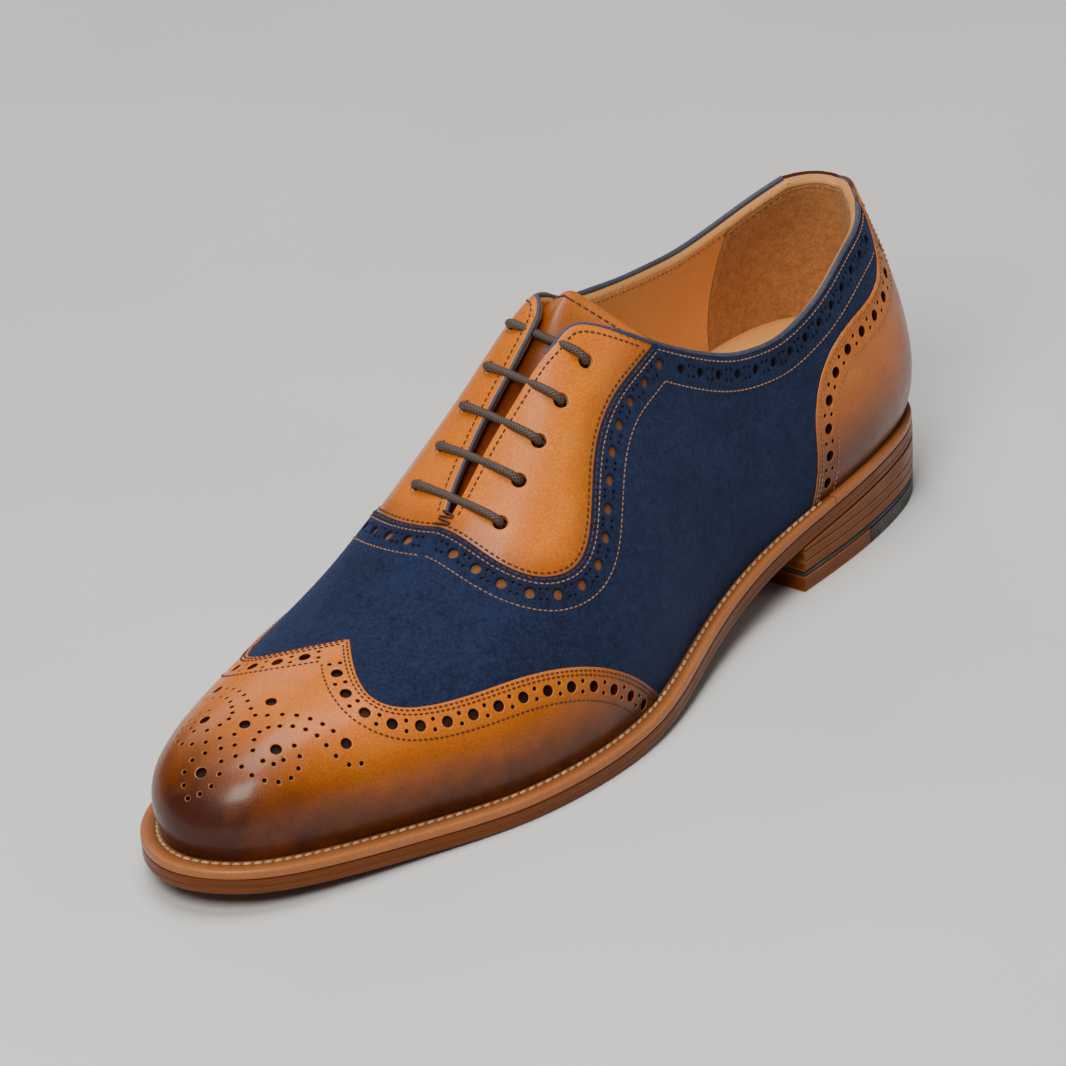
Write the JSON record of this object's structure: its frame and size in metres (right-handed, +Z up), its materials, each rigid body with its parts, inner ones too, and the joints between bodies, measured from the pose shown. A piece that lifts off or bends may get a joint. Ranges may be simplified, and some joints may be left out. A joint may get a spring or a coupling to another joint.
{
  "type": "spectator shoe",
  "caption": "Two-tone wing-tip oxford dress shoe for the left foot, with a hollow leather upper, suede quarters, laced facings, welt, leather sole and stacked heel.",
  "frame": {"origin": "on the floor under the middle of the shoe's bounding box", "axes": "+X to the toe, +Y to the outer side of the left foot, +Z up"},
  "size_m": [0.3064, 0.0996, 0.1116],
  "materials": {
    "tan_leather": "polished",
    "navy_suede": "napped suede",
    "sole_leather": "burnished edge",
    "welt_leather": "satin",
    "lining_leather": "matt",
    "black_rubber": "matt",
    "waxed_lace": "waxed"
  },
  "bodies": {
    "root": {"upper": "tan_leather", "wing_cap": "tan_leather", "heel_counter": "tan_leather", "back_tab": "tan_leather", "suede_quarters": "navy_suede", "facing_left": "tan_leather", "facing_right": "tan_leather", "tongue": "tan_leather", "insole": "lining_leather", "welt": "welt_leather", "heel_seat": "welt_leather", "outsole": "sole_leather", "heel_lift_1": "sole_leather", "heel_lift_2": "sole_leather", "heel_lift_3": "sole_leather", "rubber_sheet": "black_rubber", "top_piece_leather": "sole_leather", "top_piece_rubber": "black_rubber", "lace_bar_1": "waxed_lace", "lace_bar_2": "waxed_lace", "lace_bar_3": "waxed_lace", "lace_bar_4": "waxed_lace", "lace_bar_5": "waxed_lace"}
  },
  "joints": []
}
